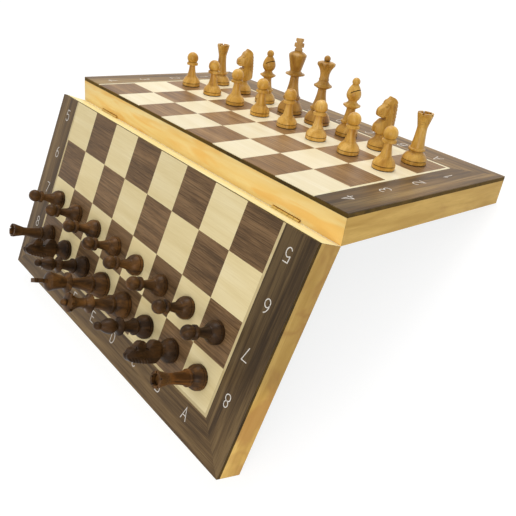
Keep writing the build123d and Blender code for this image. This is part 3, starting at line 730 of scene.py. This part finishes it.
def carve(data, stand):
    """Wears back the front and the ear tips, and cuts the face and the mane into the carving."""
    for vertex in data.vertices:
        f, d = stand.local(vertex.co)
        vertex.co -= stand.forward * front_depth(f, d) * MM
        vertex.co -= stand.upright * ear_wear_mm * ear_share(d) * MM
    data.update()
    normals = [v.normal.copy() for v in data.vertices]
    for vertex, normal in zip(data.vertices, normals):
        f, d = stand.local(vertex.co)
        depth = mane_depth(f, d)
        if abs(normal.dot(stand.side)) > side_facing:
            depth += face_depth(f, d)
        vertex.co -= normal * depth * MM


def make_knight(name, tray):
    """A knight with its carving finished, in place of the CAD one."""
    stand = Stand(name, tray, knight_turn_deg[tray.men])
    upper = bmesh.new()
    upper.from_mesh(nodes[name].data)
    cut_away(upper, stand, True)
    carving = rubbed(upper, f"{name}_carving")
    upper.free()
    carve(carving, stand)
    whole = bmesh.new()
    whole.from_mesh(nodes[name].data)
    cut_away(whole, stand, False)
    whole.from_mesh(thinned(carving, f"{name}_thinned"))
    whole.normal_update()
    for face in whole.faces:
        face.smooth = True
        face.material_index = 0
    for edge in whole.edges:
        if len(edge.link_faces) == 2 and edge.calc_face_angle(0.0) > math.radians(crease_deg):
            edge.smooth = False
    data = bpy.data.meshes.new(f"{name}_carved")
    whole.to_mesh(data)
    whole.free()
    bpy.data.meshes.remove(carving)
    piece = add_object(f"{name}_carved", data)
    data.materials.append(nodes[name].data.materials[0])
    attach(piece, name)
    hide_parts(name)


def make_knights():
    for tray in (lid, base):
        for name in sorted(nodes):
            if name.startswith(f"{tray.men}_knight"):
                make_knight(name, tray)


# ---------------------------------------------------------------- coordinates on the border
# A glyph is a list of strokes. A stroke is a line of points in a box one glyph wide and high, and
# arc() is the points of a round stretch.

glyph_width_mm = 6.2
glyph_height_mm = 10.6
stroke_mm = 0.8
ink_mm = 0.03
number_offset_mm = 14.8
letter_offset_mm = 13.8
number_shift_mm = {"base": -1.8, "lid": 1.8}
arc_step_deg = 15
end_steps_deg = (30, 60, 90, 120, 150)
sharpest_turn = 0.4


def arc(x, y, across, up, start, end):
    """Points of part of an ellipse round x, y, between two directions in degrees."""
    steps = max(2, round(abs(end - start) / arc_step_deg))
    angles = [math.radians(start + (end - start) * i / steps) for i in range(steps + 1)]
    return [(x + across * math.cos(a), y + up * math.sin(a)) for a in angles]


glyphs = {
    "1": [[(-0.22, 0.28), (0.06, 0.5), (0.06, -0.5)]],
    "2": [[*arc(0, 0.22, 0.42, 0.28, 160, -35), (-0.44, -0.5), (0.46, -0.5)]],
    "3": [arc(0, 0.25, 0.38, 0.25, 150, -90), arc(0, -0.25, 0.44, 0.25, 90, -150)],
    "4": [[(0.2, -0.5), (0.2, 0.5), (-0.48, -0.2), (0.5, -0.2)]],
    "5": [[(0.4, 0.5), (-0.32, 0.5), (-0.38, 0.06), *arc(0, -0.18, 0.42, 0.32, 125, -145)]],
    "6": [arc(0, -0.2, 0.42, 0.3, 0, 360), arc(0.24, -0.16, 0.66, 0.66, 180, 100)],
    "7": [[(-0.44, 0.5), (0.44, 0.5), (-0.12, -0.5)]],
    "8": [arc(0, 0.26, 0.34, 0.24, 0, 360), arc(0, -0.24, 0.42, 0.26, 0, 360)],
    "A": [[(-0.5, -0.5), (0, 0.5), (0.5, -0.5)], [(-0.32, -0.14), (0.32, -0.14)]],
    "B": [
        [(0, 0), (-0.42, 0), (-0.42, 0.5), *arc(0.02, 0.25, 0.34, 0.25, 90, -90)],
        [(0, 0), *arc(0.06, -0.25, 0.38, 0.25, 90, -90), (-0.42, -0.5), (-0.42, 0)],
    ],
    "C": [arc(0.04, 0, 0.48, 0.5, 45, 315)],
    "D": [[(-0.42, -0.5), (-0.42, 0.5), *arc(-0.06, 0, 0.5, 0.5, 90, -90), (-0.42, -0.5)]],
    "E": [[(0.42, 0.5), (-0.4, 0.5), (-0.4, -0.5), (0.42, -0.5)], [(-0.4, 0), (0.3, 0)]],
    "F": [[(0.42, 0.5), (-0.4, 0.5), (-0.4, -0.5)], [(-0.4, 0), (0.3, 0)]],
    "G": [[*arc(0, 0, 0.48, 0.5, 45, 330), (0.44, -0.04), (0.1, -0.04)]],
    "H": [[(-0.4, -0.5), (-0.4, 0.5)], [(0.4, -0.5), (0.4, 0.5)], [(-0.4, 0), (0.4, 0)]],
}


def stroke_outline(points):
    """The outline of a stroke of even width along a line of points, round at both ends."""
    half = stroke_mm / 2
    sides = ([], [])
    for index, point in enumerate(points):
        before = (point - points[index - 1]).normalized() if index else None
        after = (points[index + 1] - point).normalized() if index + 1 < len(points) else None
        ways = [way for way in (before, after) if way]
        along = sum(ways, Vector((0, 0))).normalized()
        across = Vector((-along.y, along.x))
        reach = half / max(sharpest_turn, along.dot(ways[0]))
        sides[0].append(point + across * reach)
        sides[1].append(point - across * reach)
    return sides


def round_end(centre, start):
    """A half circle of points round the end of a stroke, turning left from a first point."""
    spoke = start - centre
    return [centre + Matrix.Rotation(math.radians(a), 2) @ spoke for a in end_steps_deg]


def draw_stroke(mesh, to_world, points):
    """One stroke of ink: a thin plate, a little proud of the veneer."""
    left, right = stroke_outline(points)
    low, high = face_mm - ink_mm, face_mm + ink_mm
    rings = []
    for level in (low, high):
        left_row = [mesh.verts.new(to_world(p, level)) for p in left]
        right_row = [mesh.verts.new(to_world(p, level)) for p in right]
        tail = [mesh.verts.new(to_world(p, level)) for p in round_end(points[0], left[0])]
        head = [mesh.verts.new(to_world(p, level)) for p in round_end(points[-1], right[-1])]
        for a, b, c, d in zip(left_row, left_row[1:], right_row[1:], right_row):
            mesh.faces.new((a, b, c, d))
        mesh.faces.new((left_row[0], *tail, right_row[0]))
        mesh.faces.new((right_row[-1], *head, left_row[-1]))
        rings.append([*right_row, *head, *reversed(left_row), *tail])
    below, above = rings
    next_below, next_above = below[1:] + below[:1], above[1:] + above[:1]
    for a, b, c, d in zip(below, next_below, next_above, above):
        mesh.faces.new((a, b, c, d))


def draw_glyph(mesh, tray, sign, x, y, up):
    """One letter or number with its middle at x, y in the tray and its top towards up along y."""

    def to_world(point, level):
        return tray.place(x + up * point.x, y + up * point.y, level)

    size = Vector((glyph_width_mm, glyph_height_mm))
    for stroke in glyphs[sign]:
        draw_stroke(mesh, to_world, [Vector(p) * size for p in stroke])


def print_row(name, tray, ink, signs, places, up):
    """A row of signs on one strip of the border, as one piece."""
    mesh = bmesh.new()
    for sign, (x, y) in zip(signs, places):
        draw_glyph(mesh, tray, sign, x, y, up)
    bmesh.ops.recalc_face_normals(mesh, faces=mesh.faces)
    data = bpy.data.meshes.new(name)
    mesh.to_mesh(data)
    mesh.free()
    piece = add_object(name, data)
    data.materials.append(ink)
    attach(piece, tray.name)


def print_coordinates():
    """Numbers up both sides of each tray and letters along its far edge."""
    side_x = field_half_mm + number_offset_mm
    far_y = field_far_mm + letter_offset_mm
    columns = [(column + 0.5) * square_mm - field_half_mm for column in range(squares_across)]
    for tray, numbers, file_a in ((base, "5678", -1), (lid, "4321", 1)):
        ink = print_ink(f"white_ink_{tray.name}", tray)
        start = fold_edge_mm + number_shift_mm[tray.name]
        middles = [start + (row + 0.5) * square_mm for row in range(ranks_per_tray)]
        for side in (-1, 1):
            end = "a" if side == file_a else "h"
            up = 1 if side < 0 else -1
            places = [(side * side_x, y) for y in middles]
            print_row(f"{tray.name}_numbers_{end}", tray, ink, numbers, places, up)
        letters = "ABCDEFGH" if file_a < 0 else "HGFEDCBA"
        print_row(f"{tray.name}_letters", tray, ink, letters, [(x, far_y) for x in columns], -1)


def print_ink(name, tray):
    """White ink, printed thinly, so that a little of the wood's tone shows through."""
    finish = Finish(name)
    place = tray_coordinates(finish, tray)
    grain = finish.noise(place, (0.8, 0.8, 0.8), detail=3.0, roughness=0.6)
    thin, full = tones("C4BCB0", "E4DED4")
    finish.surface(finish.ramp(grain, (0.3, thin), (0.6, full)), 0.5)
    finish.bump(grain, depth_mm=0.01, strength=0.3)
    return finish.material


# ---------------------------------------------------------------- floor, light and camera


def seen_directly(tree):
    """1 for camera, mirror and glass rays and 0 for the rays that light the object."""
    path = tree.nodes.new("ShaderNodeLightPath")
    seen = path.outputs["Is Camera Ray"]
    for name in ("Is Glossy Ray", "Is Transmission Ray"):
        either = tree.nodes.new("ShaderNodeMath")
        either.operation = "MAXIMUM"
        tree.links.new(seen, either.inputs[0])
        tree.links.new(path.outputs[name], either.inputs[1])
        seen = either.outputs[0]
    return seen


def make_floor():
    """A wide pale floor. It looks white, with the object's shadow faint on it."""
    half_size = 6.0
    pale, pale_seen, glow = (0.85, 0.85, 0.85, 1), (0.25, 0.25, 0.25, 1), 0.81
    mesh = bpy.data.meshes.new("floor")
    corners = [(x * half_size, y * half_size, 0) for x, y in ((-1, -1), (1, -1), (1, 1), (-1, 1))]
    mesh.from_pydata(corners, [], [(0, 1, 2, 3)])
    floor = add_object("floor", mesh)
    finish = Finish("pale_floor")
    seen = seen_directly(finish.tree)
    finish.surface(finish.mix(seen, pale, pale_seen), 0.9, 0.0)
    finish.shader.inputs["Emission Color"].default_value = (1, 1, 1, 1)
    finish.put(finish.shader.inputs["Emission Strength"], finish.math("MULTIPLY", seen, glow))
    floor.data.materials.append(finish.material)


def make_world():
    """White where it is seen, and elsewhere a soft light that is strongest from above."""
    low, high = 0.1, 0.92
    world = bpy.data.worlds.new("studio")
    bpy.context.scene.world = world
    world.use_nodes = True
    tree = world.node_tree
    background = tree.nodes["Background"]
    background.inputs["Color"].default_value = (1, 1, 1, 1)
    direction = tree.nodes.new("ShaderNodeTexCoord")
    split = tree.nodes.new("ShaderNodeSeparateXYZ")
    tree.links.new(direction.outputs["Generated"], split.inputs[0])
    dome = tree.nodes.new("ShaderNodeMapRange")
    tree.links.new(split.outputs["Z"], dome.inputs["Value"])
    dome.inputs["To Min"].default_value = low
    dome.inputs["To Max"].default_value = high
    strength = tree.nodes.new("ShaderNodeMapRange")
    tree.links.new(seen_directly(tree), strength.inputs["Value"])
    tree.links.new(dome.outputs[0], strength.inputs["To Min"])
    strength.inputs["To Max"].default_value = 1.0
    tree.links.new(strength.outputs[0], background.inputs["Strength"])


def make_lamp(name, place, target, size, power):
    """A square soft light at a place, pointing at a target."""
    lamp = bpy.data.lights.new(name, "AREA")
    lamp.shape = "SQUARE"
    lamp.size = size
    lamp.energy = power
    holder = add_object(name, lamp)
    holder.location = place
    direction = Vector(target) - Vector(place)
    holder.rotation_euler = direction.to_track_quat("-Z", "Y").to_euler()


def make_lights():
    middle = (0, 0, 0.08)
    make_lamp("key", (-0.3, 1.1, 1.3), middle, size=0.8, power=13.5)
    make_lamp("front", (1.2, -0.9, 0.9), middle, size=0.7, power=8.5)


def make_camera():
    data = bpy.data.cameras.new("camera")
    data.lens = camera_lens
    data.shift_x, data.shift_y = camera_shift
    data.clip_start, data.clip_end = 0.01, 20
    camera = add_object("camera", data)
    camera.location = camera_place
    camera.rotation_euler = [math.radians(a) for a in camera_turn_deg]
    bpy.context.scene.camera = camera


# ---------------------------------------------------------------- the scene

dress_trays()
dress_men()
close_fold(base)
close_fold(lid)
make_knights()
print_coordinates()
make_floor()
make_world()
make_lights()
make_camera()
bpy.context.scene.view_settings.view_transform = "Standard"
